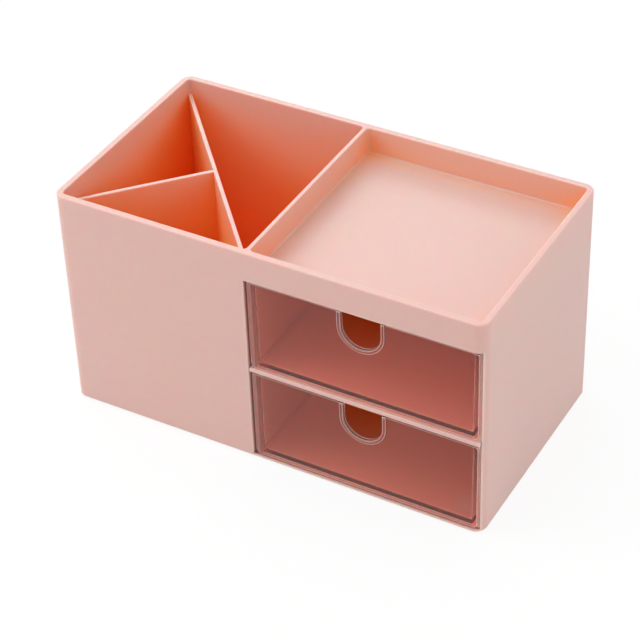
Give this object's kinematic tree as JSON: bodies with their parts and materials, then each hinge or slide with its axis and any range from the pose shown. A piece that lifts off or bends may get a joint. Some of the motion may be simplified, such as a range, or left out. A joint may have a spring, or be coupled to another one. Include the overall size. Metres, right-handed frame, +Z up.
{
  "type": "desktop drawer organizer",
  "caption": "Desk organizer with an open pen bin split by a T-shaped divider insert, a shallow top tray and two clear sliding drawers with finger notches.",
  "frame": {"origin": "on the desk, under the middle of the case", "axes": "+X to the right along the width, +Y from the drawer fronts to the back, +Z up"},
  "size_m": [0.225, 0.12, 0.122],
  "materials": {
    "pink_plastic": "satin",
    "clear_rose_plastic": "clear, smoky rose, polished",
    "soft_pad": "matt"
  },
  "bodies": {
    "case": {"housing": "pink_plastic", "shelf": "pink_plastic", "foot_front_left": "soft_pad", "foot_front_right": "soft_pad", "foot_rear_left": "soft_pad", "foot_rear_right": "soft_pad"},
    "upper_drawer": {"upper_drawer": "clear_rose_plastic"},
    "lower_drawer": {"lower_drawer": "clear_rose_plastic"},
    "divider_insert": {"divider_insert": "pink_plastic"}
  },
  "joints": [
    {"name": "upper_drawer_slide", "type": "slide", "parent": "case", "child": "upper_drawer", "axis": [0, -1, 0], "range_m": [0, 0.095]},
    {"name": "lower_drawer_slide", "type": "slide", "parent": "case", "child": "lower_drawer", "axis": [0, -1, 0], "range_m": [0, 0.095]},
    {"name": "divider_lift", "type": "slide", "parent": "case", "child": "divider_insert", "axis": [0, 0, 1], "range_m": [0, 0.12]}
  ]
}
